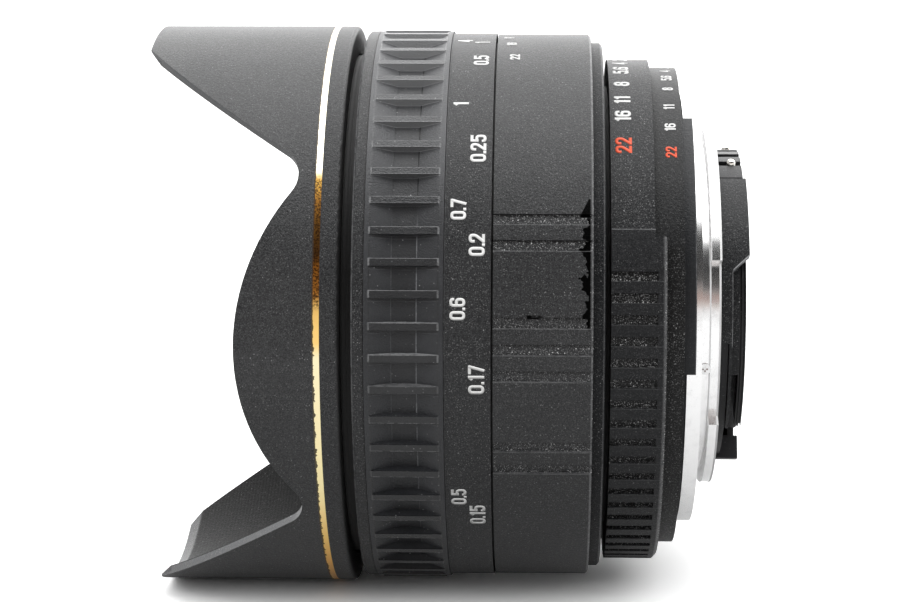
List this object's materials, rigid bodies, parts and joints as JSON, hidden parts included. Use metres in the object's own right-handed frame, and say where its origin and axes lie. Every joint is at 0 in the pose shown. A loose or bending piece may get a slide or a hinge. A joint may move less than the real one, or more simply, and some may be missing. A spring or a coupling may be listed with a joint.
{
  "type": "fisheye lens",
  "caption": "Full-frame fisheye lens with a fixed petal hood, ribbed rubber focus ring, aperture ring, bladed iris and a three-lug bayonet mount.",
  "frame": {"origin": "centre of the bayonet's flange face, on the optical axis", "axes": "+X along the optical axis out of the rear towards the camera, +Z towards the lens's index line at the top"},
  "size_m": [0.0754, 0.0734, 0.0734],
  "materials": {
    "hood_coat": "black fine crinkle coat, worn glossier at the edges",
    "gold_trim": "gold anodised ring, stained",
    "barrel_coat": "black fine crinkle coat with inked numbers",
    "grip_rubber": "dark grey ribbed rubber, dusty",
    "mount_chrome": "bright turned chrome",
    "steel": "plain turned steel",
    "black_plastic": "black moulded plastic",
    "inner_black": "matte black anodised aluminium",
    "helicoid_brass": "turned brass, greased",
    "optical_glass": "polished and coated glass",
    "contact_gold": "gold plated contacts",
    "board_laminate": "green board laminate",
    "blade_steel": "blackened thin steel",
    "gear_plastic": "pale gear plastic"
  },
  "bodies": {
    "root": {"petal_hood": "hood_coat", "gold_ring": "gold_trim", "hood_base_ring": "barrel_coat", "front_baffle": "inner_black", "fixed_tube": "inner_black", "main_barrel": "barrel_coat", "barrel_rear_ring": "barrel_coat", "rear_frame": "inner_black", "guide_keys": "steel", "mount_flange": "mount_chrome", "mount_screws": "steel", "stop_screw": "steel", "rear_shroud": "black_plastic", "light_baffle": "black_plastic", "contact_block": "black_plastic", "contact_pins": "contact_gold", "circuit_board": "board_laminate", "lever_retainer": "steel", "gear_bracket": "steel", "idler_stud": "steel", "click_ball": "steel", "click_spring": "steel"},
    "focus": {"focus_ring": "barrel_coat", "rubber_grip": "grip_rubber", "focus_gear": "gear_plastic", "helicoid_ring": "helicoid_brass", "drive_keys": "steel"},
    "optics": {"lens_barrel": "inner_black", "front_element": "optical_glass", "front_retainer": "inner_black", "second_element": "optical_glass", "middle_cell": "inner_black", "third_element": "optical_glass", "third_retainer": "inner_black", "iris_plate": "inner_black", "iris_retainer": "inner_black", "rear_lens_cell": "inner_black", "fourth_element": "optical_glass", "fourth_retainer": "inner_black", "fifth_element": "optical_glass", "sixth_element": "optical_glass", "doublet_retainer": "inner_black", "seventh_element": "optical_glass", "rear_retainer": "inner_black"},
    "iris_drive": {"iris_drive_ring": "inner_black"},
    "aperture": {"aperture_ring": "barrel_coat"},
    "lock": {"aperture_lock": "black_plastic"},
    "lever": {"lever_ring": "steel", "link_bar": "steel"},
    "af_drive": {"af_shaft": "steel", "af_pinion": "steel"},
    "idler": {"idler_gear": "gear_plastic"},
    "blade_1": {"iris_blade_1": "blade_steel"},
    "blade_2": {"iris_blade_2": "blade_steel"},
    "blade_3": {"iris_blade_3": "blade_steel"},
    "blade_4": {"iris_blade_4": "blade_steel"},
    "blade_5": {"iris_blade_5": "blade_steel"},
    "blade_6": {"iris_blade_6": "blade_steel"},
    "blade_7": {"iris_blade_7": "blade_steel"}
  },
  "joints": [
    {"name": "focus_turn", "type": "hinge", "parent": "root", "child": "focus", "pos_m": [-0.034, 0, 0], "axis": [-1, 0, 0], "range_deg": [0, 128]},
    {"name": "optics_slide", "type": "slide", "parent": "root", "child": "optics", "axis": [-1, 0, 0], "range_m": [0, 0.0036]},
    {"name": "aperture_turn", "type": "hinge", "parent": "root", "child": "aperture", "pos_m": [-0.008, 0, 0], "axis": [-1, 0, 0], "range_deg": [0, 45]},
    {"name": "lock_slide", "type": "slide", "parent": "aperture", "child": "lock", "axis": [1, 0, 0], "range_m": [0, 0.0015]},
    {"name": "lever_turn", "type": "hinge", "parent": "root", "child": "lever", "pos_m": [0.003, 0, 0], "axis": [-1, 0, 0], "range_deg": [0, 15]},
    {"name": "iris_turn", "type": "hinge", "parent": "optics", "child": "iris_drive", "pos_m": [-0.0245, 0, 0], "axis": [-1, 0, 0], "range_deg": [0, 15]},
    {"name": "af_turn", "type": "hinge", "parent": "root", "child": "af_drive", "pos_m": [-0.02, 0.01411, -0.02015], "axis": [-1, 0, 0], "range_deg": [-1593.4, 0]},
    {"name": "idler_turn", "type": "hinge", "parent": "root", "child": "idler", "pos_m": [-0.0229, 0.01904, -0.02357], "axis": [-1, 0, 0], "range_deg": [0, 1303.8]},
    {"name": "blade_1_turn", "type": "hinge", "parent": "optics", "child": "blade_1", "pos_m": [-0.026, -0.00279, 0.01311], "axis": [1, 0, 0], "range_deg": [0, 22]},
    {"name": "blade_2_turn", "type": "hinge", "parent": "optics", "child": "blade_2", "pos_m": [-0.026, -0.01198, 0.00599], "axis": [1, 0, 0], "range_deg": [0, 22]},
    {"name": "blade_3_turn", "type": "hinge", "parent": "optics", "child": "blade_3", "pos_m": [-0.026, -0.01216, -0.00563], "axis": [1, 0, 0], "range_deg": [0, 22]},
    {"name": "blade_4_turn", "type": "hinge", "parent": "optics", "child": "blade_4", "pos_m": [-0.026, -0.00318, -0.01302], "axis": [1, 0, 0], "range_deg": [0, 22]},
    {"name": "blade_5_turn", "type": "hinge", "parent": "optics", "child": "blade_5", "pos_m": [-0.026, 0.0082, -0.0106], "axis": [1, 0, 0], "range_deg": [0, 22]},
    {"name": "blade_6_turn", "type": "hinge", "parent": "optics", "child": "blade_6", "pos_m": [-0.026, 0.0134, -0.0002], "axis": [1, 0, 0], "range_deg": [0, 22]},
    {"name": "blade_7_turn", "type": "hinge", "parent": "optics", "child": "blade_7", "pos_m": [-0.026, 0.00851, 0.01035], "axis": [1, 0, 0], "range_deg": [0, 22]}
  ],
  "couplings": [
    {"joint": "optics_slide", "follows": "focus_turn", "m_per_rad": 0.0016114},
    {"joint": "af_turn", "follows": "focus_turn", "ratio": -12.444},
    {"joint": "idler_turn", "follows": "focus_turn", "ratio": 10.182},
    {"joint": "lever_turn", "follows": "aperture_turn", "ratio": 0.33333},
    {"joint": "iris_turn", "follows": "aperture_turn", "ratio": 0.33333},
    {"joint": "blade_1_turn", "follows": "aperture_turn", "ratio": 0.48889},
    {"joint": "blade_2_turn", "follows": "aperture_turn", "ratio": 0.48889},
    {"joint": "blade_3_turn", "follows": "aperture_turn", "ratio": 0.48889},
    {"joint": "blade_4_turn", "follows": "aperture_turn", "ratio": 0.48889},
    {"joint": "blade_5_turn", "follows": "aperture_turn", "ratio": 0.48889},
    {"joint": "blade_6_turn", "follows": "aperture_turn", "ratio": 0.48889},
    {"joint": "blade_7_turn", "follows": "aperture_turn", "ratio": 0.48889}
  ]
}
